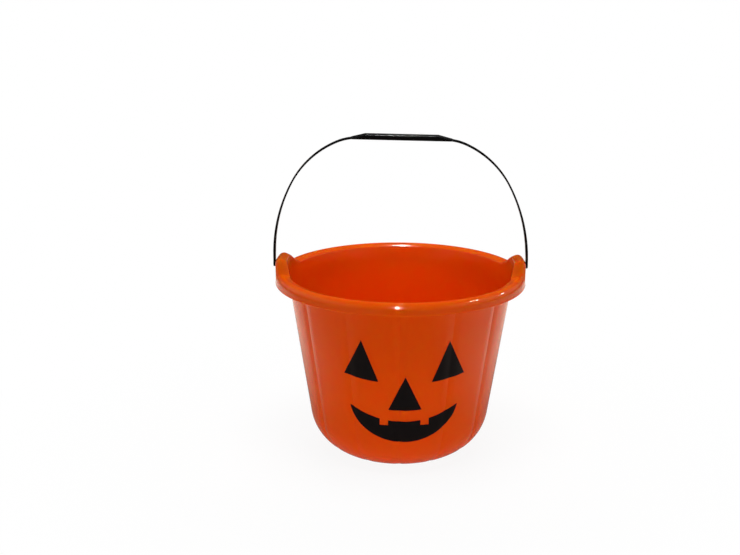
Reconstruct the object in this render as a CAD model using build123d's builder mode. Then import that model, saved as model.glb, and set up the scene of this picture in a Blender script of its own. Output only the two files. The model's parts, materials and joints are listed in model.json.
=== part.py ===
from build123d import *
from math import asin, atan2, cos, degrees, hypot, pi, radians, sin, tan
import os

# Pumpkin candy pail: a lobed bucket with a rolled rim, a swinging bail handle and a film face.
# Millimetres, +Z up. The origin is the middle of the base. The face looks along -Y and the ears are on the X axis.

# Pail body
RIM_DIAMETER = 210.0
RIM_HEIGHT = 157.0
RIM_OVERHANG = 9.9
RIM_FLARE = 1.7
SKIRT_DEPTH = 9.5
NECK_STEP = 0.2
WALL = 2.0
WALL_TAPER = 8.6
CORNER_RADIUS = 39.7
FOOT_WIDTH = 5.0
FOOT_RECESS = 1.2

# Ears
EAR_RISE = 10.8
EAR_FLAT_ANGLE = 6.5
EAR_END_ANGLE = 14.5
EAR_SECTIONS = 13
PIVOT_DROP = 5.6

# Lobes
LOBES = 12
GROOVE_WIDTH = 9.0
GROOVE_DEPTH = 0.8
CORNER_SECTIONS = 6

# Pegs of the bail handle
PEG_DIAMETER = 4.0
PEG_CLEARANCE = 0.1
PEG_HEAD_DIAMETER = 4.8
PEG_HEAD_LENGTH = 2.8
PEG_TIP_DIAMETER = 3.2
PEG_END_PLAY = 1.0

# Strap of the bail handle: an upright end, three arcs and a level run into the grip
STRAP_CLEARANCE = 0.3
STRAP_WIDTH = 6.0
STRAP_THICKNESS = 1.5
STRAP_UPRIGHT = 5.5
STRAP_LEVEL_RUN = 4.7
ARCH_RADIUS_SHARES = (1.867, 1.088, 0.632)
ARCH_TURN_SHARES = (0.315, 0.425, 0.26)

# Grip of the bail handle
GRIP_LENGTH = 86.0
GRIP_WIDTH = 12.0
GRIP_THICKNESS = 4.0
GRIP_END_SLOPE = 12.0
GRIP_END_ROUND = 4.0
GRIP_EDGE_ROUND = 1.2
GRIP_WALL = 1.6
GRIP_RIBS = 5
GRIP_RIB_THICKNESS = 1.2

# Face film, drawn on the plane that the face looks at, with rises and drops from the corners of the grin
FACE_TURN = 3.3
FACE_HEIGHT_SHARE = 0.4576
FILM = 0.25
FILM_GAP = 0.1
EYE_APEX_SIDE = 35.1
EYE_APEX_RISE = 52.8
EYE_OUTER_SIDE = 47.9
EYE_OUTER_RISE = 22.6
EYE_INNER_SIDE = 21.4
EYE_INNER_RISE = 18.7
NOSE_TOP_RISE = 23.5
NOSE_BOTTOM_DROP = 5.6
NOSE_WIDTH = 26.5
GRIN_HALF_WIDTH = 43.1
GRIN_DROP = 34.6
LIP_RADIUS = 85.0
LIP_DROP = 16.0
TOOTH_SPACING = 32.6
TOOTH_WIDTH = 6.8
TOOTH_DROP = 19.5

OVERRUN = 2.0

# Sizes that follow from the driving dimensions
rim_radius = RIM_DIAMETER / 2
skirt_bottom = RIM_HEIGHT - SKIRT_DEPTH
ear_height = RIM_HEIGHT + EAR_RISE
pivot_height = ear_height - PIVOT_DROP
slope = tan(radians(WALL_TAPER))
lean_cos = cos(radians(WALL_TAPER))
lean_sin = sin(radians(WALL_TAPER))
wall_foot_radius = rim_radius - RIM_OVERHANG - RIM_HEIGHT * slope
corner_run = CORNER_RADIUS * tan(radians(90 - WALL_TAPER) / 2)
corner_top = CORNER_RADIUS * (1 - lean_sin)
foot_outer = wall_foot_radius - corner_run
foot_inner = foot_outer - FOOT_WIDTH
hole_radius = PEG_DIAMETER / 2 + PEG_CLEARANCE
strap_inner_face = rim_radius + STRAP_CLEARANCE
strap_outer_face = strap_inner_face + STRAP_THICKNESS
grip_top_length = GRIP_LENGTH - 2 * GRIP_END_SLOPE
grin_height = skirt_bottom * FACE_HEIGHT_SHARE

# Arcs of the strap, as pairs of radius and turn, which together span from the upright end to the level run
arch_span = strap_outer_face - grip_top_length / 2 - STRAP_LEVEL_RUN
arch_turns = [radians(90 * sum(ARCH_TURN_SHARES[:index])) for index in range(len(ARCH_TURN_SHARES) + 1)]
arch_run_share = 0
arch_rise_share = 0
for radius_share, start, end in zip(ARCH_RADIUS_SHARES, arch_turns, arch_turns[1:]):
    arch_run_share += radius_share * (cos(start) - cos(end))
    arch_rise_share += radius_share * (sin(end) - sin(start))
arch_unit = arch_span / arch_run_share
arch_top = pivot_height + STRAP_UPRIGHT + arch_rise_share * arch_unit
grip_bottom = arch_top - STRAP_THICKNESS


def wall_outer(height, skin=0.0):
    """Radius of the wall's outer face at a height, with an optional skin over it."""
    return wall_foot_radius + skin / lean_cos + height * slope


def wall_inner(height):
    """Radius of the wall's inner face at a height."""
    return wall_outer(height, -WALL)


def meridian(azimuth):
    """Upright plane through the pail's axis, with its x direction at an azimuth from +X."""
    turn = radians(azimuth)
    return Plane(origin=(0, 0, 0), x_dir=(cos(turn), sin(turn), 0), z_dir=(sin(turn), -cos(turn), 0))


def crown_height(azimuth):
    """Height of the rim's crown, which lifts over an ear in one smooth wave."""
    ramp = (abs(azimuth) - EAR_FLAT_ANGLE) / (EAR_END_ANGLE - EAR_FLAT_ANGLE)
    ramp = min(max(ramp, 0.0), 1.0)
    return RIM_HEIGHT + EAR_RISE * (1 + cos(pi * ramp)) / 2


def tangent_turn(foot, middle, radius):
    """Turn, round a circle's middle, of the point where a line from a foot below touches its inner side."""
    run = middle[0] - foot[0]
    rise = middle[1] - foot[1]
    return atan2(rise, run) + asin(radius / hypot(run, rise)) + pi / 2


def rim_section(azimuth, crown):
    """Rolled rim in section: the flared neck of the wall, a round bead over the top and a skirt that hangs outside."""
    neck_inner = (wall_inner(skirt_bottom) + NECK_STEP, skirt_bottom)
    neck_outer = (wall_outer(skirt_bottom) + NECK_STEP, skirt_bottom)
    bead = (rim_radius - wall_inner(crown) - NECK_STEP - RIM_FLARE) * lean_cos / (1 + lean_cos - lean_sin)
    hollow = bead - WALL
    middle = (rim_radius - bead, crown - bead)
    bead_turn = tangent_turn(neck_inner, middle, bead)
    bead_foot = (middle[0] + bead * cos(bead_turn), middle[1] + bead * sin(bead_turn))
    hollow_turns = [0, pi / 4, pi / 2, 3 * pi / 4, tangent_turn(neck_outer, middle, hollow)]
    hollow_roof = [(middle[0] + hollow * cos(turn), middle[1] + hollow * sin(turn)) for turn in hollow_turns]
    with BuildSketch(meridian(azimuth)) as section:
        with BuildLine():
            Line(neck_inner, bead_foot)
            RadiusArc(bead_foot, (middle[0], crown), bead)
            RadiusArc((middle[0], crown), (rim_radius, middle[1]), bead)
            Polyline(
                (rim_radius, middle[1]),
                (rim_radius, skirt_bottom),
                (rim_radius - WALL, skirt_bottom),
                *hollow_roof,
                neck_outer,
                neck_inner,
            )
        make_face()
    return section.sketch


def lobed_section(height, radius):
    """Round outline of the lobes at a height, drawn in to a sharp crease between each two lobes."""
    pitch = 360 / LOBES
    shoulder = degrees(GROOVE_WIDTH / 2 / wall_outer(skirt_bottom))
    with BuildSketch(Plane.XY.offset(height)) as section:
        with BuildLine():
            for lobe in range(LOBES):
                start = lobe * pitch
                end = start + pitch
                first = PolarLine((0, 0), radius, start + shoulder, mode=Mode.PRIVATE)
                last = PolarLine((0, 0), radius, end - shoulder, mode=Mode.PRIVATE)
                valley = PolarLine((0, 0), radius - GROOVE_DEPTH, start, mode=Mode.PRIVATE)
                next_valley = PolarLine((0, 0), radius - GROOVE_DEPTH, end, mode=Mode.PRIVATE)
                Line(valley @ 1, first @ 1)
                CenterArc((0, 0), radius, start + shoulder, pitch - 2 * shoulder)
                Line(last @ 1, next_valley @ 1)
        make_face()
    return section.sketch


def lobed_wall(bottom, top, skin=0.0):
    """Tapered solid with lobes between two heights of the wall."""
    return loft(
        [lobed_section(bottom, wall_outer(bottom, skin)), lobed_section(top, wall_outer(top, skin))],
        ruled=True,
        mode=Mode.PRIVATE,
    )


# Rolled rim, which lifts over the two ears
ear_step = 2 * EAR_END_ANGLE / (EAR_SECTIONS - 1)
ear_angles = [index * ear_step - EAR_END_ANGLE for index in range(EAR_SECTIONS)]
with BuildPart() as rim:
    for side in (0, 180):
        revolve(rim_section(side + EAR_END_ANGLE, RIM_HEIGHT), Axis.Z, 180 - 2 * EAR_END_ANGLE)
        loft([rim_section(side + angle, crown_height(angle)) for angle in ear_angles])

# Pail body: lobed wall and rounded base corner
with BuildPart() as pail_body:
    add(lobed_wall(corner_top, skirt_bottom))
    corner_sections = []
    for index in range(CORNER_SECTIONS):
        lean = radians(90 - (90 - WALL_TAPER) * index / (CORNER_SECTIONS - 1))
        height = CORNER_RADIUS * (1 - sin(lean))
        corner_sections.append(lobed_section(height, foot_outer + CORNER_RADIUS * cos(lean)))
    loft(corner_sections)

    # Smooth inside
    with BuildSketch(Plane.XZ) as cavity_profile:
        with BuildLine():
            Polyline(
                (0, WALL + FOOT_RECESS),
                (foot_inner - FOOT_RECESS, WALL + FOOT_RECESS),
                (foot_inner, WALL),
                (wall_inner(WALL), WALL),
                (wall_inner(skirt_bottom), skirt_bottom),
                (0, skirt_bottom),
                close=True,
            )
        make_face()
        inside_corner = cavity_profile.vertices().sort_by_distance((wall_inner(WALL), WALL))[0]
        fillet(inside_corner, CORNER_RADIUS - WALL)
    revolve(axis=Axis.Z, mode=Mode.SUBTRACT)

    # Recess inside the foot ring
    with BuildSketch():
        Circle(foot_inner)
    extrude(amount=FOOT_RECESS, taper=45, mode=Mode.SUBTRACT)

    add(rim.part)

    # Pivot holes in the ears' skirts
    for side in (-1, 1):
        with BuildSketch(Plane.YZ.offset(side * (rim_radius + OVERRUN))):
            with Locations((0, pivot_height)):
                Circle(hole_radius)
        extrude(amount=-side * (WALL + 2 * OVERRUN), mode=Mode.SUBTRACT)

# Grip with rounded, sloping ends, cored out underneath between cross ribs
with BuildPart() as grip:
    with BuildSketch(Plane.XY.offset(grip_bottom)):
        RectangleRounded(GRIP_LENGTH, GRIP_WIDTH, GRIP_END_ROUND)
    extrude(amount=GRIP_THICKNESS)
    with BuildSketch(Plane.XZ):
        with BuildLine():
            Polyline(
                (-GRIP_LENGTH / 2, grip_bottom),
                (-GRIP_LENGTH / 2, arch_top),
                (-grip_top_length / 2, grip_bottom + GRIP_THICKNESS),
                (grip_top_length / 2, grip_bottom + GRIP_THICKNESS),
                (GRIP_LENGTH / 2, arch_top),
                (GRIP_LENGTH / 2, grip_bottom),
                close=True,
            )
        make_face()
    extrude(amount=GRIP_WIDTH, both=True, mode=Mode.INTERSECT)
    fillet(grip.faces().sort_by(Axis.Z)[-1].edges().filter_by(Axis.X), GRIP_EDGE_ROUND)
    with BuildSketch(Plane.XY.offset(grip_bottom)):
        Rectangle(grip_top_length, GRIP_WIDTH - 2 * GRIP_WALL)
        with GridLocations(grip_top_length / (GRIP_RIBS + 1), 0, GRIP_RIBS, 1):
            Rectangle(GRIP_RIB_THICKNESS, GRIP_WIDTH, mode=Mode.SUBTRACT)
    extrude(amount=GRIP_THICKNESS - GRIP_WALL, mode=Mode.SUBTRACT)

# Bail handle: half of the strap, a round end and its peg
with BuildPart() as bail_handle:
    with BuildSketch(Plane.XZ):
        with BuildLine():
            run = Line((strap_outer_face, pivot_height), (strap_outer_face, pivot_height + STRAP_UPRIGHT))
            for radius_share, turn_share in zip(ARCH_RADIUS_SHARES, ARCH_TURN_SHARES):
                run = JernArc(run @ 1, run % 1, radius_share * arch_unit, 90 * turn_share)
            Line(run @ 1, (grip_top_length / 2, arch_top))
            offset(amount=STRAP_THICKNESS, side=Side.LEFT)
        make_face()
    extrude(amount=STRAP_WIDTH / 2, both=True)

    with BuildSketch(Plane.YZ.offset(strap_inner_face)):
        with Locations((0, pivot_height)):
            Circle(STRAP_WIDTH / 2)
    extrude(amount=STRAP_THICKNESS)

    with BuildSketch(Plane.XZ):
        head_face = rim_radius - WALL - PEG_END_PLAY
        with BuildLine():
            Polyline(
                (strap_outer_face, pivot_height),
                (strap_outer_face, pivot_height + PEG_DIAMETER / 2),
                (head_face, pivot_height + PEG_DIAMETER / 2),
                (head_face, pivot_height + PEG_HEAD_DIAMETER / 2),
                (head_face - PEG_HEAD_LENGTH, pivot_height + PEG_TIP_DIAMETER / 2),
                (head_face - PEG_HEAD_LENGTH, pivot_height),
                close=True,
            )
        make_face()
    revolve(axis=Axis((0, 0, pivot_height), (1, 0, 0)))
    mirror(about=Plane.YZ)
    add(grip.part)

# Film over the wall, which the face is cut from
film_bottom = grin_height - GRIN_DROP - OVERRUN
film_top = grin_height + EYE_APEX_RISE + OVERRUN
with BuildPart() as film_skin:
    add(lobed_wall(film_bottom, film_top, FILM_GAP + FILM))
    add(lobed_wall(film_bottom, film_top, FILM_GAP), mode=Mode.SUBTRACT)


def film_piece(outline):
    """Part of the film inside an outline, lying on the wall."""
    with BuildPart() as piece:
        extrude(outline, amount=rim_radius)
        add(film_skin.part, mode=Mode.INTERSECT)
    return piece.part


face_pieces = {}
for name, side in (("left_eye", -1), ("right_eye", 1)):
    with BuildSketch(meridian(FACE_TURN)) as eye_outline:
        with BuildLine():
            Polyline(
                (side * EYE_APEX_SIDE, grin_height + EYE_APEX_RISE),
                (side * EYE_OUTER_SIDE, grin_height + EYE_OUTER_RISE),
                (side * EYE_INNER_SIDE, grin_height + EYE_INNER_RISE),
                close=True,
            )
        make_face()
    face_pieces[name] = film_piece(eye_outline.sketch)

with BuildSketch(meridian(FACE_TURN)) as nose_outline:
    with BuildLine():
        Polyline(
            (0, grin_height + NOSE_TOP_RISE),
            (-NOSE_WIDTH / 2, grin_height - NOSE_BOTTOM_DROP),
            (NOSE_WIDTH / 2, grin_height - NOSE_BOTTOM_DROP),
            close=True,
        )
    make_face()
face_pieces["nose"] = film_piece(nose_outline.sketch)

# Grin: an ellipse under the curve of the upper lip, with two square teeth left out
with BuildSketch(meridian(FACE_TURN)) as grin_outline:
    with Locations((0, grin_height)):
        Ellipse(GRIN_HALF_WIDTH, GRIN_DROP)
    with Locations((0, grin_height - LIP_DROP + LIP_RADIUS)):
        Circle(LIP_RADIUS, mode=Mode.SUBTRACT)
    with Locations((0, grin_height - TOOTH_DROP)):
        with GridLocations(TOOTH_SPACING, 0, 2, 1):
            Rectangle(TOOTH_WIDTH, LIP_RADIUS, align=(Align.CENTER, Align.MIN), mode=Mode.SUBTRACT)
face_pieces["mouth_grin"] = film_piece(grin_outline.sketch)

os.makedirs("parts", exist_ok=True)
pieces = {"pail_body": pail_body.part, "bail_handle": bail_handle.part}
pieces.update(face_pieces)
for name, piece in pieces.items():
    piece.label = name
    export_step(piece, f"parts/{name}.step")
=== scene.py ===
import json
from math import asin, atan2, cos, hypot, pi, radians, sin, sqrt, tan

import bmesh
import bpy
from mathutils import Matrix, Vector


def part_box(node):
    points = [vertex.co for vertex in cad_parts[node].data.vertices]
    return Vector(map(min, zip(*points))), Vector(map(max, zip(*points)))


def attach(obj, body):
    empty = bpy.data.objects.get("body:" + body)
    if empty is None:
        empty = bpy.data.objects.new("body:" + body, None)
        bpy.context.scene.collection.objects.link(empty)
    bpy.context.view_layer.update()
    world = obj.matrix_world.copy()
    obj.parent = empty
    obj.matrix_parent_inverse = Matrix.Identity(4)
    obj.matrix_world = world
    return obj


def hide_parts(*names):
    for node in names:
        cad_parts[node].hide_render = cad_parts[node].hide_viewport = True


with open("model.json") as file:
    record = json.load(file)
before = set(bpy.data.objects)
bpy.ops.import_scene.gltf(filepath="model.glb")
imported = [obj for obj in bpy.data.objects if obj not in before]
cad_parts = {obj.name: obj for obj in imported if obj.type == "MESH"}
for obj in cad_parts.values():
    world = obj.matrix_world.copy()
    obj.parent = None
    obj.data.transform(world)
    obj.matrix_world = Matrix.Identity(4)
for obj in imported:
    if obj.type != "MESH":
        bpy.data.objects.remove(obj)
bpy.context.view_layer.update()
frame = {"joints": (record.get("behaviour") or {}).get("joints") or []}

pail_low, pail_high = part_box("pail_body")
hinge = frame["joints"][0]

# Pail body, in metres
RIM_RADIUS = (pail_high.x - pail_low.x) / 2
RIM_HEIGHT = 0.157
RIM_OVERHANG = 0.0099
RIM_FLARE = 0.0017
SKIRT_DEPTH = 0.0095
SKIRT_LIP_ROUND = 0.0009
SKIRT_LIP_FLARE = 0.00025
SKIRT_LIP_RUN = 0.0008
NECK_STEP = 0.0002
WALL = 0.002
WALL_TAPER = radians(8.6)
CORNER_RADIUS = 0.0397
FOOT_WIDTH = 0.005
FOOT_RECESS = 0.0012
FOOT_EASE = 0.0007
EAR_RISE = 0.0111
EAR_FLAT_ANGLE = radians(6)
EAR_END_ANGLE = radians(13.2)
EAR_REAR_END_ANGLE = radians(21.5)
NECK_BEND = 0.006
BRIM_LEDGE = 0.0007
BRIM_DROP = 0.0018
BRIM_ROUND = 0.001

# Mesh steps along the pail's section
FLOOR_STEPS = 5
FOOT_STEPS = 3
FOOT_EASE_STEPS = 8
INNER_CORNER_STEPS = 16
INNER_WALL_STEPS = 14
NECK_BEND_STEPS = 6
BRIM_STEPS = 3
BRIM_ROUND_STEPS = 5
BEAD_STEPS = 24
SKIRT_STEPS = 4
LIP_FLARE_STEPS = 2
LIP_ROUND_STEPS = 5
SKIRT_BACK_STEPS = 3
HOLLOW_STEPS = 12
NECK_FACE_STEPS = 6
OUTER_WALL_STEPS = 20
OUTER_CORNER_STEPS = 22

# Lobes of the pail
CREASE_AZIMUTHS = tuple(radians(turn) for turn in (
    0.0, 34.6, 62.3, 90.0, 117.7, 145.4, 180.0, 214.6, 242.3, 270.0, 297.7, 325.4))
GROOVE_HALF_WIDTH = 0.007
GROOVE_DEPTH = 0.0008
GROOVE_SOFTNESS = 1.4
LOBE_STEPS = 16
EAR_LOBE_STEPS = 44
GROOVE_STEP_SHARES = (0.03, 0.08, 0.16, 0.28, 0.42, 0.6, 0.8, 1.0)

# Bail handle
PIVOT_HEIGHT = hinge["pos_m"][2]
PEG_RADIUS = 0.002
PEG_HOLE_RADIUS = 0.0021
PEG_HEAD_RADIUS = 0.0024
PEG_HEAD_LENGTH = 0.0028
PEG_TIP_RADIUS = 0.0016
PEG_END_PLAY = 0.001
PEG_EDGE_ROUND = 0.0003
STRAP_CLEARANCE = 0.0003
STRAP_WIDTH = 0.006
STRAP_THICKNESS = 0.0015
STRAP_FOOT_EXTRA = 0.00025
STRAP_EDGE_ROUND = 0.00035
STRAP_UPRIGHT = 0.0055
STRAP_LEVEL_RUN = 0.0047
EYE_PROUD = 0.00005
HANDLE_SWAY = 0.0005
HANDLE_TILT = 0.014
ARCH_RADIUS_SHARES = (1.867, 1.088, 0.632)
ARCH_TURN_SHARES = (0.315, 0.425, 0.26)
ARCH_STEP = radians(2.5)
LATHE_STEPS = 48
EDGE_STEPS = 4

# Grip of the bail handle
GRIP_LENGTH = 0.086
GRIP_WIDTH = 0.012
GRIP_THICKNESS = 0.004
GRIP_END_SLOPE = 0.012
GRIP_SLOPE_RUN = 0.0128
GRIP_END_THICKNESS = 0.0007
GRIP_END_ROUND = 0.004
GRIP_TOP_ROUND = 0.0012
GRIP_LOW_ROUND = 0.0004
GRIP_WALL = 0.0016
GRIP_RIBS = 5
GRIP_RIB_THICKNESS = 0.0012
GRIP_POCKET_ROUND = 0.0005
GRIP_ROUND_STEPS = 8
GRIP_SLOPE_STEPS = 5
GRIP_TOP_STEPS = 10

# Face film: rises and drops run from the two ends of the grin's lower edge,
# and a shift is how far a film is stuck out of place
FACE_TURN = radians(3.3)
FACE_HEIGHT_SHARE = 0.4576
FILM = 0.0003
FILM_BED = 0.00015
EYE_APEX = (0.0351, 0.0528)
EYE_OUTER = (0.0479, 0.0226)
EYE_INNER = (0.0214, 0.0187)
EYE_BASE_BULGE = 0.0006
NOSE_TOP_RISE = 0.0235
NOSE_BOTTOM_DROP = 0.0056
NOSE_WIDTH = 0.0265
NOSE_BASE_BULGE = 0.0007
GRIN_HALF_WIDTH = 0.0431
GRIN_DROP = 0.0346
LIP_RADIUS = 0.085
LIP_DROP = 0.016
TOOTH_SPACING = 0.0326
TOOTH_WIDTH = 0.0068
TOOTH_DROP = 0.0195
LEFT_EYE_SHIFT = (-0.0001, 0.0010)
RIGHT_EYE_SHIFT = (-0.0005, 0.0004)
LEFT_EYE_APEX_EXTRA = 0.0007
NOSE_SHIFT = (-0.0001, 0.0008)
GRIN_SHIFT = (-0.0004, 0.0004)
FILM_GRID = 20
FILM_LAY_PASSES = 6
GRIN_CORNER_HALVINGS = 40
GRIN_MIDDLE_STEPS = 10
GRIN_TOOTH_STEPS = 5
GRIN_SIDE_STEPS = 16
GRIN_LOW_ROWS = 8
GRIN_HIGH_ROWS = 4

# Colours, as scene-linear values
ORANGE = (0.73, 0.085, 0.0009, 1.0)
ORANGE_DEEP = (0.70, 0.078, 0.0009, 1.0)
ORANGE_PALE = (0.75, 0.108, 0.004, 1.0)
BLACK = (0.0022, 0.0021, 0.0023, 1.0)
BLACK_WORN = (0.008, 0.0078, 0.008, 1.0)
INK = (0.0065, 0.0042, 0.0044, 1.0)
INK_THIN = (0.012, 0.0085, 0.009, 1.0)
WHITE = (1.0, 1.0, 1.0, 1.0)
WARM = (1.0, 0.80, 0.68, 1.0)

# How far light wanders inside the orange plastic, as shares of the wall for red, green and blue
GLOW_SHARE = 0.5
GLOW_DEPTHS = (20.0, 1.0, 0.1)

# Skin and scuffs that the three finishes share
DRIFT_SCALE = 14.0
MOTTLE_SCALE = 260.0
GLOSS_SPAN = (0.3, 0.7)
GRAIN_SCALE = 1900.0
GRAIN_DEPTH = 0.0002
HAIR_TURN = (0.4, 0.9, 0.3)
HAIR_STRETCH = (1, 14, 1)
HAIR_WIDTH = 0.018
PATCH_SCALE = 22.0
PATCH_FULL = 0.8

# Edges that turn by less than this are shaded smooth
SOFT_EDGE = radians(40)

# Floor and room as light on the pail and as the camera sees them
FLOOR_HALF = 6.0
FLOOR_COLOUR = (0.86, 0.86, 0.86, 1.0)
FLOOR_BOUNCE = 0.28
FLOOR_GLOW_NEAR = 0.92
FLOOR_GLOW_SPAN = (0.12, 0.4)
ROOM_FRONT = 0.0625
ROOM_BACK = 0.025
SEEN_WHITE = 1.0

# Floor and room as the pail mirrors them
MIRROR_WAY = (0.3, 1.0, 0.0)
MIRROR_FLOOR_FRONT = 0.40
MIRROR_FLOOR_BACK = 1.1
MIRROR_FLOOR_SPAN = (-0.2, 0.05)
MIRROR_MIDDLE_SHARE = 0.3
MIRROR_MIDDLE_SPAN = (0.12, 0.22)
MIRROR_FRONT = 0.08
MIRROR_BACK = 0.04
MIRROR_BACK_SPAN = (0.78, 0.95)
MIRROR_WALLS = 0.6
MIRROR_WALL_SPAN = (0.45, 0.75)
MIRROR_WALL_HEIGHTS = (0.05, 0.3)

# Softboxes that light the pail: name, place, what it points at, size and power
SOFTBOXES = (
    ("top softbox", (0.0, -0.30, 1.50), (0, 0, 0.12), (0.8, 0.8), 20.8),
    ("back softbox", (0.0, 0.80, 0.80), (0, 0, 0.16), (0.8, 0.5), 4.3),
)
SOFTBOX_SPREAD = pi

# Lamps that only show as bright spots on the gloss: name, place, what it points at, size and brightness
SPOTS = (
    ("front lamp", (-0.012, -0.295, 0.385), (0.0, -0.105, 0.155), (0.018, 0.055), 60.0),
    ("back lamp", (-0.0007, 0.17, 0.54), (0.0, 0.1, 0.15), (0.007, 0.20), 110.0),
    ("side lamp", (0.36, -0.03, 0.53), (0.063, -0.084, 0.155), (0.13, 0.025), 3.0),
    ("far side lamp", (0.44, 0.145, 0.415), (0.085, -0.061, 0.155), (0.06, 0.025), 1.2),
)
SPOT_SPREAD = radians(30)

# Camera, from the photograph's vanishing lines and the pail's ellipses
CAMERA_PLACE = (0.0, -0.9, 0.3932)
CAMERA_PITCH = radians(15.112)
CAMERA_ROLL = radians(0.545)
CAMERA_LENS = 53.58
CAMERA_SHIFT = -0.0412
SENSOR_WIDTH = 36.0

# Sizes that follow
skirt_bottom = RIM_HEIGHT - SKIRT_DEPTH
slope = tan(WALL_TAPER)
wall_foot_radius = RIM_RADIUS - RIM_OVERHANG - RIM_HEIGHT * slope
foot_outer = wall_foot_radius - CORNER_RADIUS * tan((pi / 2 - WALL_TAPER) / 2)
foot_inner = foot_outer - FOOT_WIDTH
corner_top = CORNER_RADIUS * (1 - sin(WALL_TAPER))
strap_inner_face = RIM_RADIUS + STRAP_CLEARANCE
strap_outer_face = strap_inner_face + STRAP_THICKNESS
grip_top_length = GRIP_LENGTH - 2 * GRIP_END_SLOPE
grin_height = skirt_bottom * FACE_HEIGHT_SHARE
film_weld = FILM / 20


# Mesh helpers

def mesh_piece(name, vertices, faces):
    """New mesh object in the scene."""
    mesh = bpy.data.meshes.new(name)
    mesh.from_pydata(vertices, [], faces)
    piece = bpy.data.objects.new(name, mesh)
    bpy.context.scene.collection.objects.link(piece)
    shaped = bmesh.new()
    shaped.from_mesh(mesh)
    bmesh.ops.recalc_face_normals(shaped, faces=shaped.faces)
    shaped.to_mesh(mesh)
    shaped.free()
    return piece


def skinned_rings(name, rings):
    """Closed tube through rings of equal length, with both ends capped."""
    size = len(rings[0])
    vertices = [point for ring in rings for point in ring]
    faces = []
    for row in range(len(rings) - 1):
        here = row * size
        above = here + size
        for index in range(size):
            after = (index + 1) % size
            faces.append((here + index, here + after, above + after, above + index))
    faces.append(tuple(range(size)))
    faces.append(tuple(range((len(rings) - 1) * size, len(rings) * size)))
    return mesh_piece(name, vertices, faces)


def combined(piece, tool, operation):
    """Piece with a tool mesh joined to it or cut from it. The tool is used up."""
    modifier = piece.modifiers.new("combine", "BOOLEAN")
    modifier.operation = operation
    modifier.solver = "EXACT"
    modifier.object = tool
    bpy.context.view_layer.update()
    shape = piece.evaluated_get(bpy.context.evaluated_depsgraph_get())
    made = bpy.data.meshes.new_from_object(shape)
    piece.modifiers.clear()
    piece.data = made
    bpy.data.objects.remove(tool)
    return piece


def dressed(piece, material, body, node):
    """Piece with its finish, smooth shading and place on a body, standing for a node."""
    piece.data.materials.clear()
    piece.data.materials.append(material)
    piece.data.shade_smooth()
    piece.data.set_sharp_from_angle(angle=SOFT_EDGE)
    weighted = piece.modifiers.new("weighted normals", "WEIGHTED_NORMAL")
    weighted.keep_sharp = True
    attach(piece, body)
    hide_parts(node)
    return piece


def arc(centre, radius, start, end, steps):
    """Points on an arc in the (radius, height) plane, from start to end."""
    turns = [start + (end - start) * index / steps for index in range(steps + 1)]
    return [(centre[0] + radius * cos(turn), centre[1] + radius * sin(turn)) for turn in turns]


def line(start, end, steps):
    """Points on a straight line, without its first point."""
    shares = [index / steps for index in range(1, steps + 1)]
    run = end[0] - start[0]
    rise = end[1] - start[1]
    return [(start[0] + run * share, start[1] + rise * share) for share in shares]


def eased_step(start, end, steps):
    """Points on a smooth step between two levels, without its first point."""
    points = []
    for index in range(1, steps + 1):
        share = index / steps
        rise = (1 - cos(pi * share)) / 2
        points.append((start[0] + (end[0] - start[0]) * share, start[1] + (end[1] - start[1]) * rise))
    return points


# Pail body

def wall_outer(height):
    """Radius of the wall's outer face over the lobes."""
    return wall_foot_radius + height * slope


def wall_inner(height):
    """Radius of the wall's inner face."""
    return wall_outer(height) - WALL / cos(WALL_TAPER)


def groove_draw(azimuth):
    """How far the outer face is drawn in at an azimuth, deepest at the crease between two lobes."""
    from_crease = min(abs((azimuth - crease + pi) % (2 * pi) - pi) for crease in CREASE_AZIMUTHS)
    share = from_crease * wall_outer(skirt_bottom) / GROOVE_HALF_WIDTH
    return GROOVE_DEPTH * max(0.0, 1 - share) ** GROOVE_SOFTNESS


def crown_height(azimuth):
    """Height of the rim's crown, which lifts over the two ears in a smooth wave."""
    from_ear = abs((azimuth + pi / 2) % pi - pi / 2)
    end = EAR_REAR_END_ANGLE if sin(azimuth) > 0 else EAR_END_ANGLE
    share = (from_ear - EAR_FLAT_ANGLE) / (end - EAR_FLAT_ANGLE)
    share = min(max(share, 0.0), 1.0)
    return RIM_HEIGHT + EAR_RISE * (1 + cos(pi * share)) / 2


def pail_azimuths():
    """Azimuths of the mesh columns, close together at each crease and even over each lobe."""
    shoulder = GROOVE_HALF_WIDTH / wall_outer(skirt_bottom)
    azimuths = []
    for crease, next_crease in zip(CREASE_AZIMUTHS, CREASE_AZIMUTHS[1:] + (2 * pi,)):
        azimuths.append(crease)
        azimuths.extend(crease + shoulder * share for share in GROOVE_STEP_SHARES)
        span = next_crease - crease - 2 * shoulder
        beside_ear = 0.0 in (crease % pi, next_crease % pi)
        steps = EAR_LOBE_STEPS if beside_ear else LOBE_STEPS
        azimuths.extend(crease + shoulder + span * step / steps for step in range(1, steps))
        azimuths.extend(next_crease - shoulder * share for share in reversed(GROOVE_STEP_SHARES))
    return azimuths


def tangent_turn(foot, middle, radius):
    """Turn round a circle's middle where a line from a foot below touches the circle's inner side."""
    run = middle[0] - foot[0]
    rise = middle[1] - foot[1]
    return atan2(rise, run) + asin(radius / hypot(run, rise)) + pi / 2


def towards(start, end, length):
    """Point at a length along the way from a start to an end."""
    share = length / hypot(end[0] - start[0], end[1] - start[1])
    return (start[0] + (end[0] - start[0]) * share, start[1] + (end[1] - start[1]) * share)


def bend(start, corner, end, steps):
    """Points on a soft bend that starts and ends along the two sides of a corner."""
    points = []
    for index in range(steps + 1):
        share = index / steps
        near = ((1 - share) ** 2, 2 * share * (1 - share), share ** 2)
        sides = zip(start, corner, end)
        points.append(tuple(near[0] * a + near[1] * b + near[2] * c for a, b, c in sides))
    return points


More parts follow.
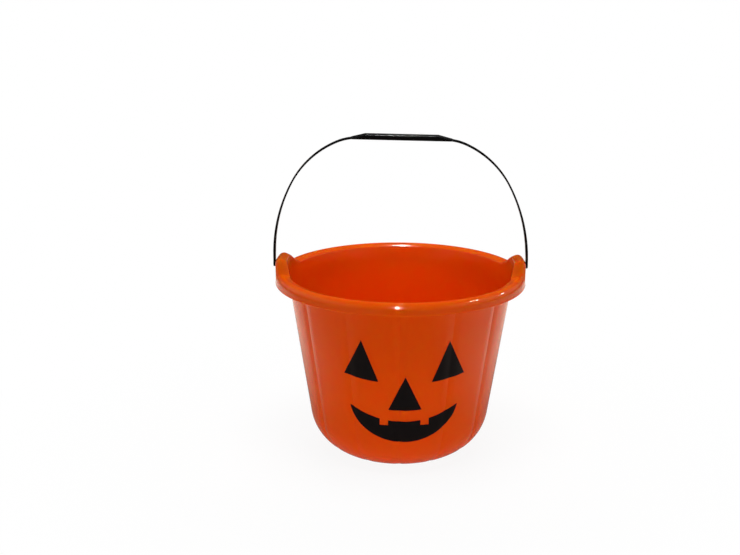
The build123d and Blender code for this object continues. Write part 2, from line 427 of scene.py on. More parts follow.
def pail_profile(azimuth):
    """Section of the pail as (radius, height, lobing), from its floor over the rim to its underside."""
    crown = crown_height(azimuth)
    lean_cos = cos(WALL_TAPER)
    lean_sin = sin(WALL_TAPER)
    rim_width = RIM_RADIUS - wall_inner(crown) - NECK_STEP - RIM_FLARE
    bead = rim_width * lean_cos / (1 + lean_cos - lean_sin)
    bead_middle = (RIM_RADIUS - bead, crown - bead)
    neck_inner = (wall_inner(skirt_bottom), skirt_bottom)
    brim = (RIM_RADIUS - 2 * bead - BRIM_LEDGE, crown - BRIM_DROP)
    neck_outer = (wall_outer(skirt_bottom) + NECK_STEP, skirt_bottom)
    bead_start = tangent_turn(brim, bead_middle, bead)
    hollow_end = tangent_turn(neck_outer, bead_middle, bead - WALL)
    floor_edge = (foot_inner - FOOT_RECESS - FOOT_EASE, WALL + FOOT_RECESS)
    floor_foot = (foot_inner + FOOT_EASE, WALL)
    corner_middle = (foot_outer, CORNER_RADIUS)
    lip_height = skirt_bottom + SKIRT_LIP_ROUND

    inside = line((0, WALL + FOOT_RECESS), floor_edge, FLOOR_STEPS)
    inside += eased_step(floor_edge, floor_foot, FOOT_EASE_STEPS)
    inside += line(floor_foot, (foot_outer, WALL), FOOT_STEPS)
    inside += arc(corner_middle, CORNER_RADIUS - WALL, -pi / 2, -WALL_TAPER, INNER_CORNER_STEPS)[1:]
    over_rim = arc(bead_middle, bead, bead_start, 0, BEAD_STEPS)
    neck_low = (wall_inner(skirt_bottom - NECK_BEND), skirt_bottom - NECK_BEND)
    neck_high = towards(neck_inner, brim, NECK_BEND)
    brim_low = towards(brim, neck_inner, BRIM_ROUND)
    brim_high = towards(brim, over_rim[0], BRIM_ROUND)
    inside += line(inside[-1], neck_low, INNER_WALL_STEPS)
    inside += bend(neck_low, neck_inner, neck_high, NECK_BEND_STEPS)[1:]
    inside += line(inside[-1], brim_low, BRIM_STEPS)
    inside += bend(brim_low, brim, brim_high, BRIM_ROUND_STEPS)[1:]
    inside += line(inside[-1], over_rim[0], BRIM_STEPS)
    over_rim += line(over_rim[-1], (RIM_RADIUS, lip_height + SKIRT_LIP_RUN), SKIRT_STEPS)
    lip_edge = RIM_RADIUS + SKIRT_LIP_FLARE
    over_rim += line(over_rim[-1], (lip_edge, lip_height), LIP_FLARE_STEPS)
    lip_outer = (lip_edge - SKIRT_LIP_ROUND, lip_height)
    lip_inner = (RIM_RADIUS - WALL + SKIRT_LIP_ROUND, lip_height)
    over_rim += arc(lip_outer, SKIRT_LIP_ROUND, 0, -pi / 2, LIP_ROUND_STEPS)[1:]
    over_rim += arc(lip_inner, SKIRT_LIP_ROUND, -pi / 2, -pi, LIP_ROUND_STEPS)
    over_rim += line(over_rim[-1], (RIM_RADIUS - WALL, bead_middle[1]), SKIRT_BACK_STEPS)
    over_rim += arc(bead_middle, bead - WALL, 0, hollow_end, HOLLOW_STEPS)[1:]
    neck = line(over_rim[-1], neck_outer, NECK_FACE_STEPS)
    neck += line(neck_outer, (wall_outer(skirt_bottom - NECK_STEP), skirt_bottom - NECK_STEP), 1)

    outside = line(neck[-1], (wall_outer(corner_top), corner_top), OUTER_WALL_STEPS)
    outside += arc(corner_middle, CORNER_RADIUS, -WALL_TAPER, -pi / 2, OUTER_CORNER_STEPS)[1:]
    foot = line((foot_outer, 0), (foot_inner + FOOT_EASE, 0), FOOT_STEPS)
    recess_edge = (foot_inner - FOOT_RECESS - FOOT_EASE, FOOT_RECESS)
    underside = eased_step(foot[-1], recess_edge, FOOT_EASE_STEPS)
    underside += line(underside[-1], (0, FOOT_RECESS), FLOOR_STEPS)[:-1]

    profile = [(radius, height, 0.0) for radius, height in inside[1:-1] + over_rim]
    for index, (radius, height) in enumerate(neck):
        profile.append((radius, height, (index + 1) / len(neck)))
    profile += [(radius, height, 1.0) for radius, height in outside]
    for index, (radius, height) in enumerate(foot):
        profile.append((radius, height, 1 - (index + 1) / len(foot)))
    profile += [(radius, height, 0.0) for radius, height in underside]
    return profile


def pail_shell():
    """The pail moulding: lobed outside, smooth inside, rolled rim with two ears and a peg hole in each."""
    azimuths = pail_azimuths()
    vertices = []
    for azimuth in azimuths:
        draw = groove_draw(azimuth)
        for radius, height, lobing in pail_profile(azimuth):
            reach = radius - draw * lobing
            vertices.append((reach * cos(azimuth), reach * sin(azimuth), height))
    rows = len(vertices) // len(azimuths)
    faces = []
    for column in range(len(azimuths)):
        here = column * rows
        after = ((column + 1) % len(azimuths)) * rows
        for row in range(rows - 1):
            faces.append((here + row, after + row, after + row + 1, here + row + 1))
    floor_middle = len(vertices)
    vertices.append((0, 0, WALL + FOOT_RECESS))
    vertices.append((0, 0, FOOT_RECESS))
    for column in range(len(azimuths)):
        here = column * rows
        after = ((column + 1) % len(azimuths)) * rows
        faces.append((floor_middle, after, here))
        faces.append((floor_middle + 1, here + rows - 1, after + rows - 1))
    shell = mesh_piece("pail_shell", vertices, faces)
    for side in (-1, 1):
        shell = combined(shell, peg_drill(side), "DIFFERENCE")
    return shell


def turned(name, profile, side):
    """Lathe form about the pivot axis from (reach, radius) points. The reach runs outwards on one side."""
    turns = [2 * pi * index / LATHE_STEPS for index in range(LATHE_STEPS)]
    rings = []
    for reach, radius in profile:
        rings.append([(side * reach, radius * cos(t), PIVOT_HEIGHT + radius * sin(t)) for t in turns])
    return skinned_rings(name, rings)


def peg_drill(side):
    """Tool for the peg hole through an ear's skirt."""
    profile = [(RIM_RADIUS - 2 * WALL, PEG_HOLE_RADIUS), (RIM_RADIUS + WALL, PEG_HOLE_RADIUS)]
    return turned("peg_drill", profile, side)


# Bail handle

def rounded_ring(half_width, low, high, low_round, high_round):
    """Rounded rectangle as (across, up) points."""
    corners = (
        (half_width - low_round, low + low_round, low_round, -pi / 2),
        (half_width - high_round, high - high_round, high_round, 0.0),
        (high_round - half_width, high - high_round, high_round, pi / 2),
        (low_round - half_width, low + low_round, low_round, pi),
    )
    ring = []
    for across, up, rounding, start in corners:
        for index in range(EDGE_STEPS + 1):
            turn = start + pi / 2 * index / EDGE_STEPS
            ring.append((across + rounding * cos(turn), up + rounding * sin(turn)))
    return ring


def strap_stations():
    """Points of the strap's outer face with the direction it faces, from the pivot up to the grip."""
    span = strap_outer_face - grip_top_length / 2 - STRAP_LEVEL_RUN
    starts = [pi / 2 * sum(ARCH_TURN_SHARES[:index]) for index in range(len(ARCH_TURN_SHARES) + 1)]
    pairs = list(zip(ARCH_RADIUS_SHARES, starts, starts[1:]))
    unit = span / sum(share * (cos(start) - cos(end)) for share, start, end in pairs)
    x = strap_outer_face
    z = PIVOT_HEIGHT + STRAP_UPRIGHT
    stations = [(x, PIVOT_HEIGHT, 0.0), (x, PIVOT_HEIGHT + STRAP_UPRIGHT / 2, 0.0), (x, z, 0.0)]
    for share, start, end in pairs:
        radius = share * unit
        middle = (x - radius * cos(start), z - radius * sin(start))
        steps = max(1, round((end - start) / ARCH_STEP))
        for index in range(1, steps + 1):
            turn = start + (end - start) * index / steps
            stations.append((middle[0] + radius * cos(turn), middle[1] + radius * sin(turn), turn))
        x, z, _ = stations[-1]
    stations.append((grip_top_length / 2 + STRAP_LEVEL_RUN / 4, z, pi / 2))
    return stations


def half_strap(side):
    """One side of the strap."""
    edge = STRAP_EDGE_ROUND
    section = rounded_ring(STRAP_WIDTH / 2, -STRAP_THICKNESS, 0.0, edge, edge)
    stations = strap_stations()
    top = stations[-1][1]
    rings = []
    for x, z, facing in stations:
        rise = (z - PIVOT_HEIGHT) / (top - PIVOT_HEIGHT)
        outer_extra = STRAP_FOOT_EXTRA * max(0.0, 1 - 2 * rise)
        above_eye = (z - PIVOT_HEIGHT - STRAP_UPRIGHT) / STRAP_UPRIGHT
        inner_extra = outer_extra * min(1.0, max(0.0, above_eye))
        ring = []
        for across, up in section:
            reach = up + outer_extra if up > -STRAP_THICKNESS / 2 else up - inner_extra
            ring.append((side * (x + reach * cos(facing)), across, z + reach * sin(facing)))
        rings.append(ring)
    return skinned_rings("half_strap", rings)


def strap_eye(side):
    """Round end of the strap with its snap peg."""
    head_face = RIM_RADIUS - WALL - PEG_END_PLAY
    tip = head_face - PEG_HEAD_LENGTH
    inner_face = strap_inner_face - EYE_PROUD
    outer_face = strap_outer_face + STRAP_FOOT_EXTRA + EYE_PROUD
    eye_radius = STRAP_WIDTH / 2 + EYE_PROUD
    edge = eye_radius - STRAP_EDGE_ROUND
    inner_edge = arc((edge, inner_face + STRAP_EDGE_ROUND), STRAP_EDGE_ROUND, 0, -pi / 2, EDGE_STEPS)
    outer_edge = arc((edge, outer_face - STRAP_EDGE_ROUND), STRAP_EDGE_ROUND, 0, pi / 2, EDGE_STEPS)
    profile = [
        (tip, PEG_TIP_RADIUS - PEG_EDGE_ROUND),
        (tip + PEG_EDGE_ROUND, PEG_TIP_RADIUS),
        (head_face - 2 * PEG_EDGE_ROUND, PEG_HEAD_RADIUS),
        (head_face - PEG_EDGE_ROUND, PEG_HEAD_RADIUS),
        (head_face, PEG_HEAD_RADIUS - PEG_EDGE_ROUND),
        (head_face, PEG_RADIUS),
        (inner_face, PEG_RADIUS),
        (inner_face, edge),
    ]
    profile += [(reach, radius) for radius, reach in reversed(inner_edge)][1:]
    profile += [(reach, radius) for radius, reach in outer_edge]
    return turned("strap_eye", profile, side)


def grip_half_width(x):
    """Half of the grip's width, which narrows round its ends."""
    into_round = abs(x) - (GRIP_LENGTH / 2 - GRIP_END_ROUND)
    if into_round <= 0:
        return GRIP_WIDTH / 2
    return GRIP_WIDTH / 2 - GRIP_END_ROUND + sqrt(max(0.0, GRIP_END_ROUND ** 2 - into_round ** 2))


def grip_block(low):
    """Thick grip with rounded, sloping ends, before it is cored."""
    half = GRIP_LENGTH / 2
    sloped = GRIP_SLOPE_RUN - GRIP_END_ROUND
    right = []
    for index in range(GRIP_ROUND_STEPS + 1):
        right.append(half - GRIP_END_ROUND * (1 - cos(pi / 2 * index / GRIP_ROUND_STEPS)))
    for index in range(1, GRIP_SLOPE_STEPS + 1):
        right.append(half - GRIP_END_ROUND - sloped * index / GRIP_SLOPE_STEPS)
    for index in range(1, GRIP_TOP_STEPS):
        right.append((half - GRIP_SLOPE_RUN) * (1 - index / GRIP_TOP_STEPS))
    rings = []
    for x in right + [0.0] + [-x for x in reversed(right)]:
        end_share = min(1.0, (half - abs(x)) / GRIP_SLOPE_RUN)
        height = GRIP_END_THICKNESS + (GRIP_THICKNESS - GRIP_END_THICKNESS) * end_share
        top_round = min(GRIP_TOP_ROUND, height / 2)
        low_round = min(GRIP_LOW_ROUND, height / 3)
        ring = rounded_ring(grip_half_width(x), low, low + height, low_round, top_round)
        rings.append([(x, across, up) for across, up in ring])
    return skinned_rings("grip_block", rings)


def grip_pocket(middle, low):
    """Tool for one of the hollows under the grip, between two cross ribs."""
    length = grip_top_length / (GRIP_RIBS + 1) - GRIP_RIB_THICKNESS
    depth = GRIP_THICKNESS - GRIP_WALL
    half_width = GRIP_WIDTH / 2 - GRIP_WALL
    edge = GRIP_POCKET_ROUND
    section = rounded_ring(length / 2, low - depth, low + depth, edge, edge)
    rings = []
    for across in (-half_width, half_width):
        rings.append([(middle + along, across, up) for along, up in section])
    return skinned_rings("grip_pocket", rings)


def swayed(handle):
    """Handle with its left side a little higher and bowed out, as its loose fit lets it stand."""
    top = strap_stations()[-1][1]
    for vertex in handle.data.vertices:
        rise = (vertex.co.z - PIVOT_HEIGHT - STRAP_UPRIGHT) / (top - PIVOT_HEIGHT - STRAP_UPRIGHT)
        rise = min(max(rise, 0.0), 1.0)
        vertex.co.z -= HANDLE_TILT * vertex.co.x * rise
        vertex.co.x -= HANDLE_SWAY * 4 * rise * (1 - rise)
    return handle


def carry_handle():
    """The handle moulding: strap, grip and two pegs in one piece."""
    low = strap_stations()[-1][1] - STRAP_THICKNESS
    handle = grip_block(low)
    handle.name = "carry_handle"
    pocket_pitch = grip_top_length / (GRIP_RIBS + 1)
    for index in range(GRIP_RIBS + 1):
        pocket = grip_pocket((index - GRIP_RIBS / 2) * pocket_pitch, low)
        handle = combined(handle, pocket, "DIFFERENCE")
    for side in (-1, 1):
        handle = combined(handle, half_strap(side), "UNION")
        handle = combined(handle, strap_eye(side), "UNION")
    return swayed(handle)


# Face film

def on_wall(across, height, proud):
    """Point over the lobed wall, straight behind a point of the face's own plane."""
    looks = FACE_TURN - pi / 2
    turn = 0.0
    for _ in range(FILM_LAY_PASSES):
        reach = wall_outer(height) - groove_draw(looks + turn)
        turn = asin(across / reach)
    return ((reach + proud) * cos(looks + turn), (reach + proud) * sin(looks + turn), height)


def film_slab(name, points, faces, shift):
    """Thin film over the wall, from a flat grid of (across, rise) points and its faces."""
    count = len(points)
    placed = [(across + shift[0], grin_height + rise + shift[1]) for across, rise in points]
    vertices = [on_wall(across, height, FILM) for across, height in placed]
    vertices += [on_wall(across, height, -FILM_BED) for across, height in placed]
    uses = {}
    for face in faces:
        for start, end in zip(face, face[1:] + face[:1]):
            uses.setdefault(frozenset((start, end)), []).append((start, end))
    walls = [edges[0] for edges in uses.values() if len(edges) == 1]
    slab = [tuple(face) for face in faces]
    slab += [tuple(index + count for index in reversed(face)) for face in faces]
    slab += [(end, start, start + count, end + count) for start, end in walls]
    return mesh_piece(name, vertices, slab)


def film_triangle(name, corners, base_bulge, shift):
    """Triangular film whose base, between its second and third corner, bows outwards."""
    top, left, right = (Vector(corner) for corner in corners)
    along = (right - left).normalized()
    outwards = Vector((along.y, -along.x))
    if outwards.dot(top - left) > 0:
        outwards.negate()
    points = []
    places = {}
    for row in range(FILM_GRID + 1):
        for step in range(row + 1):
            towards_right = step / FILM_GRID
            towards_left = (row - step) / FILM_GRID
            place = top + (left - top) * towards_left + (right - top) * towards_right
            place += outwards * base_bulge * 4 * towards_left * towards_right
            places[row, step] = len(points)
            points.append((place.x, place.y))
    faces = []
    for row in range(FILM_GRID):
        for step in range(row + 1):
            faces.append([places[row, step], places[row + 1, step], places[row + 1, step + 1]])
            if step < row:
                faces.append([places[row, step], places[row + 1, step + 1], places[row, step + 1]])
    return film_slab(name, points, faces, shift)


def lower_lip(across):
    """Lower edge of the grin, part of an ellipse."""
    return -GRIN_DROP * sqrt(max(0.0, 1 - (across / GRIN_HALF_WIDTH) ** 2))


def upper_lip(across):
    """Upper edge of the grin, part of a circle."""
    return LIP_RADIUS - LIP_DROP - sqrt(LIP_RADIUS ** 2 - across ** 2)


def grin_corner():
    """Where the two lips meet at the side of the grin."""
    near, far = 0.0, GRIN_HALF_WIDTH
    for _ in range(GRIN_CORNER_HALVINGS):
        middle = (near + far) / 2
        if upper_lip(middle) > lower_lip(middle):
            near = middle
        else:
            far = middle
    return near


def film_grin(name):
    """Grin with two square teeth left out of its upper lip."""
    tooth_near = (TOOTH_SPACING - TOOTH_WIDTH) / 2
    tooth_far = (TOOTH_SPACING + TOOTH_WIDTH) / 2
    corner = grin_corner()
    half = []
    for index in range(GRIN_MIDDLE_STEPS + 1):
        half.append(tooth_near * index / GRIN_MIDDLE_STEPS)
    for index in range(1, GRIN_TOOTH_STEPS + 1):
        half.append(tooth_near + TOOTH_WIDTH * index / GRIN_TOOTH_STEPS)
    for index in range(1, GRIN_SIDE_STEPS + 1):
        half.append(tooth_far + (corner - tooth_far) * sin(pi / 2 * index / GRIN_SIDE_STEPS))
    columns = [-across for across in reversed(half[1:])] + half
    points = []
    places = {}
    for column, across in enumerate(columns):
        beside_tooth = min(max(abs(across), tooth_near), tooth_far)
        gap = upper_lip(beside_tooth) - lower_lip(beside_tooth)
        tooth_share = (-TOOTH_DROP - lower_lip(beside_tooth)) / gap
        low = lower_lip(across)
        high = upper_lip(across)
        middle = low + (high - low) * tooth_share
        rises = [low + (middle - low) * row / GRIN_LOW_ROWS for row in range(GRIN_LOW_ROWS)]
        for row in range(GRIN_HIGH_ROWS + 1):
            rises.append(middle + (high - middle) * row / GRIN_HIGH_ROWS)
        for row, rise in enumerate(rises):
            places[column, row] = len(points)
            points.append((across, rise))
    faces = []
    for column in range(len(columns) - 1):
        between = abs(columns[column] + columns[column + 1]) / 2
        in_tooth = tooth_near < between < tooth_far
        for row in range(GRIN_LOW_ROWS if in_tooth else GRIN_LOW_ROWS + GRIN_HIGH_ROWS):
            ring = ((column, row), (column + 1, row), (column + 1, row + 1), (column, row + 1))
            faces.append([places[spot] for spot in ring])
    grin = film_slab(name, points, faces, GRIN_SHIFT)
    tidied = bmesh.new()
    tidied.from_mesh(grin.data)
    loose = [vertex for vertex in tidied.verts if not vertex.link_faces]
    bmesh.ops.delete(tidied, geom=loose, context="VERTS")
    bmesh.ops.remove_doubles(tidied, verts=tidied.verts, dist=film_weld)
    tidied.to_mesh(grin.data)
    tidied.free()
    return grin


# Shader helpers

def node(tree, kind, inputs=(), **settings):
    """New node in a tree. Each input is paired with a value or with another node's output."""
    made = tree.nodes.new(kind)
    for name, value in settings.items():
        setattr(made, name, value)
    for name, source in inputs:
        target = made.inputs[name]
        if isinstance(source, bpy.types.NodeSocket):
            tree.links.new(source, target)
        else:
            target.default_value = source
    return made


def maths(tree, operation, first, second=0.0, clamped=False):
    """Result of a Math node."""
    inputs = ((0, first), (1, second))
    return node(tree, "ShaderNodeMath", inputs, operation=operation, use_clamp=clamped).outputs[0]


def ramp(tree, value, span, levels, shape="LINEAR"):
    """Result of a Map Range node, which goes from one level to another over a span of a value."""
    inputs = (
        ("Value", value),
        ("From Min", span[0]),
        ("From Max", span[1]),
        ("To Min", levels[0]),
        ("To Max", levels[1]),
    )
    return node(tree, "ShaderNodeMapRange", inputs, interpolation_type=shape).outputs["Result"]


def mixed(tree, kind, share, first, second):
    """Result of a Mix node, for colours or for numbers."""
    inputs = (("Factor", share), ("A", first), ("B", second))
    return node(tree, "ShaderNodeMix", inputs, data_type=kind).outputs["Result"]


def noise(tree, place, scale, detail):
    """Level of a noise texture."""
    inputs = (("Vector", place), ("Scale", scale), ("Detail", detail))
    return node(tree, "ShaderNodeTexNoise", inputs).outputs["Fac"]


def glow(tree, colour, strength):
    """Shader of a surface that gives off light."""
    return node(tree, "ShaderNodeEmission", (("Color", colour), ("Strength", strength))).outputs[0]


def mixed_shaders(tree, share, first, second):
    """Shader between two others."""
    return node(tree, "ShaderNodeMixShader", ((0, share), (1, first), (2, second))).outputs[0]


def emptied_tree(owner):
    """Node tree of a material or a world, without the nodes it starts with."""
    owner.use_nodes = True
    owner.node_tree.nodes.clear()
    return owner.node_tree


def node_group(name, inputs, outputs):
    """Empty shader node group with its sockets, and its input and output nodes."""
    group = bpy.data.node_groups.new(name, "ShaderNodeTree")
    for socket, kind, value in inputs:
        made = group.interface.new_socket(socket, in_out="INPUT", socket_type=kind)
        made.default_value = value
    for socket, kind in outputs:
        group.interface.new_socket(socket, in_out="OUTPUT", socket_type=kind)
    return group, group.nodes.new("NodeGroupInput"), group.nodes.new("NodeGroupOutput")


def moulded_skin_group():
    """Moulded plastic skin: slow drift of colour, faint mottle and a fine mould texture."""
    group, given, result = node_group(
        "moulded skin",
        (
            ("Colour", "NodeSocketColor", ORANGE),
            ("Deep", "NodeSocketColor", ORANGE_DEEP),
            ("Pale", "NodeSocketColor", ORANGE_PALE),
            ("Drift", "NodeSocketFloat", 0.3),
            ("Mottle", "NodeSocketFloat", 0.1),
            ("Gloss Low", "NodeSocketFloat", 0.2),
            ("Gloss High", "NodeSocketFloat", 0.3),
        ),
        (
            ("Colour", "NodeSocketColor"),
            ("Roughness", "NodeSocketFloat"),
            ("Height", "NodeSocketFloat"),
        ),
    )
    wanted = given.outputs
    place = node(group, "ShaderNodeTexCoord").outputs["Object"]
    slow = noise(group, place, DRIFT_SCALE, 3.0)
    fine = noise(group, place, MOTTLE_SCALE, 4.0)
    grain = noise(group, place, GRAIN_SCALE, 2.0)
    drift = maths(group, "MULTIPLY", slow, wanted["Drift"])
    mottle = maths(group, "MULTIPLY", fine, wanted["Mottle"])
    deeper = mixed(group, "RGBA", drift, wanted["Colour"], wanted["Deep"])
    paler = mixed(group, "RGBA", mottle, deeper, wanted["Pale"])
    gloss = ramp(group, fine, GLOSS_SPAN, (wanted["Gloss Low"], wanted["Gloss High"]))
    height = maths(group, "ADD", grain, slow)
    group.links.new(paler, result.inputs["Colour"])
    group.links.new(gloss, result.inputs["Roughness"])
    group.links.new(height, result.inputs["Height"])
    return group


def handling_scuffs_group():
    """Fine rub marks from handling, as a mask of short hair lines in patches."""
    group, given, result = node_group(
        "handling scuffs",
        (("Scale", "NodeSocketFloat", 60.0), ("Patches", "NodeSocketFloat", 0.6)),
        (("Mask", "NodeSocketFloat"),),
    )
    place = node(group, "ShaderNodeTexCoord").outputs["Object"]
    stretched = node(
        group,
        "ShaderNodeMapping",
        (("Vector", place), ("Rotation", HAIR_TURN), ("Scale", HAIR_STRETCH)),
    )
    hair = node(
        group,
        "ShaderNodeTexVoronoi",
        (("Vector", stretched.outputs["Vector"]), ("Scale", given.outputs["Scale"])),
        feature="DISTANCE_TO_EDGE",
    )
    thin = ramp(group, hair.outputs["Distance"], (0.0, HAIR_WIDTH), (1.0, 0.0))
    patch = noise(group, place, PATCH_SCALE, 2.0)
    kept = ramp(group, patch, (given.outputs["Patches"], PATCH_FULL), (0.0, 1.0))
    group.links.new(maths(group, "MULTIPLY", thin, kept), result.inputs["Mask"])
    return group


def plastic_material(name, skin, scuffs, skin_values, scuff_values, worn, worn_share, grain, shader_values):
    """Moulded plastic from the two shared groups; worn is the colour of a rub mark."""
    material = bpy.data.materials.new(name)
    tree = emptied_tree(material)
    skin_node = node(tree, "ShaderNodeGroup", node_tree=skin)
    for socket, value in skin_values:
        skin_node.inputs[socket].default_value = value
    scuff_node = node(tree, "ShaderNodeGroup", node_tree=scuffs)
    for socket, value in scuff_values:
        scuff_node.inputs[socket].default_value = value
    rub = maths(tree, "MULTIPLY", scuff_node.outputs["Mask"], worn_share)
    colour = mixed(tree, "RGBA", rub, skin_node.outputs["Colour"], worn)
    roughness = maths(tree, "ADD", skin_node.outputs["Roughness"], rub, clamped=True)
    relief = node(
        tree,
        "ShaderNodeBump",
        (("Strength", grain), ("Distance", GRAIN_DEPTH), ("Height", skin_node.outputs["Height"])),
    )
    varied = (("Base Color", colour), ("Roughness", roughness), ("Normal", relief.outputs["Normal"]))
    shader = node(tree, "ShaderNodeBsdfPrincipled", varied + shader_values)
    node(tree, "ShaderNodeOutputMaterial", (("Surface", shader.outputs["BSDF"]),))
    return material


# Stage

def floor_material():
    """White floor that keeps a light shadow round the pail and lights it from below.

    In the pail's gloss it is dimmer in front and along the middle.
    """
    material = bpy.data.materials.new("white floor")
    tree = emptied_tree(material)
    paths = node(tree, "ShaderNodeLightPath").outputs
    place = node(tree, "ShaderNodeTexCoord").outputs["Object"]
    parts = node(tree, "ShaderNodeSeparateXYZ", (("Vector", place),)).outputs
    distance = node(tree, "ShaderNodeVectorMath", ((0, place),), operation="LENGTH")
    back = node(tree, "ShaderNodeVectorMath", ((0, place), (1, MIRROR_WAY)), operation="DOT_PRODUCT")
    far_share = ramp(tree, distance.outputs["Value"], FLOOR_GLOW_SPAN, (FLOOR_GLOW_NEAR, 1.0), "SMOOTHSTEP")
    mirror_levels = (MIRROR_FLOOR_FRONT, MIRROR_FLOOR_BACK)
    mirror_level = ramp(tree, back.outputs["Value"], MIRROR_FLOOR_SPAN, mirror_levels)
    aside = maths(tree, "ABSOLUTE", parts["X"])
    aside_share = ramp(tree, aside, MIRROR_MIDDLE_SPAN, (MIRROR_MIDDLE_SHARE, 1.0))
    mirrored = glow(tree, WARM, maths(tree, "MULTIPLY", mirror_level, aside_share))
    card = node(tree, "ShaderNodeBsdfDiffuse", (("Color", FLOOR_COLOUR),)).outputs[0]
    lit = node(tree, "ShaderNodeAddShader", ((0, card), (1, glow(tree, WHITE, FLOOR_BOUNCE))))
    seen = mixed_shaders(tree, far_share, card, glow(tree, WHITE, SEEN_WHITE))
    unseen = mixed_shaders(tree, paths["Is Glossy Ray"], lit.outputs[0], mirrored)
    shader = mixed_shaders(tree, paths["Is Camera Ray"], unseen, seen)
    node(tree, "ShaderNodeOutputMaterial", (("Surface", shader),))
    return material


def add_floor():
    """Plain floor under the pail."""
    half = FLOOR_HALF
    corners = [(-half, -half, 0), (half, -half, 0), (half, half, 0), (-half, half, 0)]
    floor = mesh_piece("floor", corners, [(0, 1, 2, 3)])
    floor.data.materials.append(floor_material())


def add_world():
    """White room, with a little more light from the front.

    In the pail's gloss it is dim in front and behind, with lighter walls at the sides.
    """
    world = bpy.data.worlds.new("white room")
    bpy.context.scene.world = world
    tree = emptied_tree(world)
    paths = node(tree, "ShaderNodeLightPath").outputs
    direction = node(tree, "ShaderNodeTexCoord").outputs["Generated"]
    parts = node(tree, "ShaderNodeSeparateXYZ", (("Vector", direction),)).outputs
    ends = ramp(tree, parts["Y"], MIRROR_BACK_SPAN, (MIRROR_FRONT, MIRROR_BACK), "SMOOTHSTEP")
    aside = maths(tree, "ABSOLUTE", parts["X"])
    wall_level = ramp(tree, aside, MIRROR_WALL_SPAN, (0.0, MIRROR_WALLS))
    wall_share = ramp(tree, parts["Z"], MIRROR_WALL_HEIGHTS, (0.0, 1.0))
    mirrored = maths(tree, "ADD", ends, maths(tree, "MULTIPLY", wall_level, wall_share))
    room = ramp(tree, parts["Y"], (-1.0, 1.0), (ROOM_FRONT, ROOM_BACK))
    unseen = mixed(tree, "FLOAT", paths["Is Glossy Ray"], room, mirrored)
    strength = mixed(tree, "FLOAT", paths["Is Camera Ray"], unseen, SEEN_WHITE)
    sky = node(tree, "ShaderNodeBackground", (("Color", WHITE), ("Strength", strength)))
    node(tree, "ShaderNodeOutputWorld", (("Surface", sky.outputs[0]),))


def add_lamp(name, place, aim, size, power, spread, mirrored):
    """Area lamp that points at a place on the pail, with its light spread over an angle.

    It either lights the pail or only shows as a bright spot on its gloss.
    """
    lamp = bpy.data.lights.new(name, "AREA")
    lamp.shape = "RECTANGLE"
    lamp.size, lamp.size_y = size
    lamp.energy = power
    lamp.spread = spread
    holder = bpy.data.objects.new(name, lamp)
    holder.location = place
    holder.rotation_euler = (Vector(aim) - Vector(place)).to_track_quat("-Z", "Y").to_euler()
    holder.visible_camera = False
    holder.visible_glossy = mirrored
    holder.visible_diffuse = not mirrored
    bpy.context.scene.collection.objects.link(holder)


def add_camera():
    """Camera at the photograph's viewing angle."""
    lens = bpy.data.cameras.new("photo camera")
    lens.lens = CAMERA_LENS
    lens.sensor_width = SENSOR_WIDTH
    lens.shift_x = CAMERA_SHIFT
    camera = bpy.data.objects.new("photo camera", lens)
    tilt = Matrix.Rotation(pi / 2 - CAMERA_PITCH, 4, "X")
    roll = Matrix.Rotation(CAMERA_ROLL, 4, "Z")
    camera.matrix_world = Matrix.Translation(CAMERA_PLACE) @ tilt @ roll
    bpy.context.scene.collection.objects.link(camera)
    bpy.context.scene.camera = camera


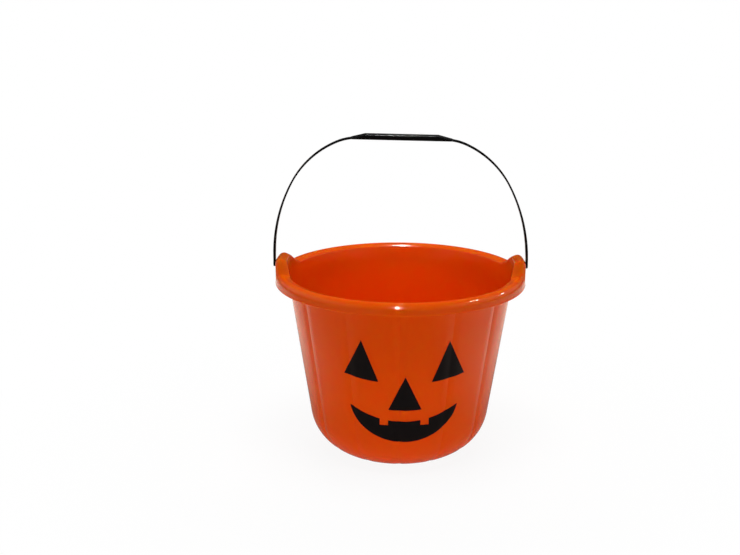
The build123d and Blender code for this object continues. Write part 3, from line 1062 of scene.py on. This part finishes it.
# Materials of the pieces
skin = moulded_skin_group()
scuffs = handling_scuffs_group()
orange_plastic = plastic_material(
    "orange polypropylene",
    skin,
    scuffs,
    skin_values=(
        ("Colour", ORANGE),
        ("Deep", ORANGE_DEEP),
        ("Pale", ORANGE_PALE),
        ("Drift", 0.5),
        ("Mottle", 0.08),
        ("Gloss Low", 0.05),
        ("Gloss High", 0.08),
    ),
    scuff_values=(("Scale", 40.0), ("Patches", 0.58)),
    worn=ORANGE_PALE,
    worn_share=0.25,
    grain=0.012,
    shader_values=(
        ("Specular IOR Level", 0.2),
        ("Subsurface Weight", GLOW_SHARE),
        ("Subsurface Radius", GLOW_DEPTHS),
        ("Subsurface Scale", WALL),
    ),
)
black_plastic = plastic_material(
    "black polyethylene",
    skin,
    scuffs,
    skin_values=(
        ("Colour", BLACK),
        ("Deep", BLACK),
        ("Pale", BLACK_WORN),
        ("Drift", 0.5),
        ("Mottle", 0.2),
        ("Gloss Low", 0.26),
        ("Gloss High", 0.4),
    ),
    scuff_values=(("Scale", 70.0), ("Patches", 0.5)),
    worn=BLACK_WORN,
    worn_share=0.4,
    grain=0.004,
    shader_values=(("Specular IOR Level", 0.1),),
)
black_film = plastic_material(
    "black film",
    skin,
    scuffs,
    skin_values=(
        ("Colour", INK),
        ("Deep", INK),
        ("Pale", INK_THIN),
        ("Drift", 0.5),
        ("Mottle", 0.25),
        ("Gloss Low", 0.3),
        ("Gloss High", 0.42),
    ),
    scuff_values=(("Scale", 60.0), ("Patches", 0.55)),
    worn=INK_THIN,
    worn_share=0.4,
    grain=0.04,
    shader_values=(("Specular IOR Level", 0.13),),
)

# Pieces
dressed(pail_shell(), orange_plastic, "pail", "pail_body")
dressed(carry_handle(), black_plastic, "handle", "bail_handle")
eyes = (
    ("left_eye", -1, LEFT_EYE_APEX_EXTRA, LEFT_EYE_SHIFT),
    ("right_eye", 1, 0.0, RIGHT_EYE_SHIFT),
)
for eye_node, side, apex_extra, eye_shift in eyes:
    apex = (EYE_APEX[0], EYE_APEX[1] + apex_extra)
    corners = [(side * across, rise) for across, rise in (apex, EYE_OUTER, EYE_INNER)]
    eye = film_triangle(f"{eye_node}_film", corners, EYE_BASE_BULGE, eye_shift)
    dressed(eye, black_film, "pail", eye_node)
nose_corners = [
    (0, NOSE_TOP_RISE),
    (-NOSE_WIDTH / 2, -NOSE_BOTTOM_DROP),
    (NOSE_WIDTH / 2, -NOSE_BOTTOM_DROP),
]
nose = film_triangle("nose_film", nose_corners, NOSE_BASE_BULGE, NOSE_SHIFT)
dressed(nose, black_film, "pail", "nose")
dressed(film_grin("grin_film"), black_film, "pail", "mouth_grin")

# Room, lamps and camera
add_floor()
add_world()
for lamp_name, place, aim, size, power in SOFTBOXES:
    add_lamp(lamp_name, place, aim, size, power, SOFTBOX_SPREAD, mirrored=False)
for lamp_name, place, aim, size, brightness in SPOTS:
    power = brightness * pi * size[0] * size[1]
    add_lamp(lamp_name, place, aim, size, power, SPOT_SPREAD, mirrored=True)
add_camera()

bpy.context.scene.view_settings.view_transform = "Standard"
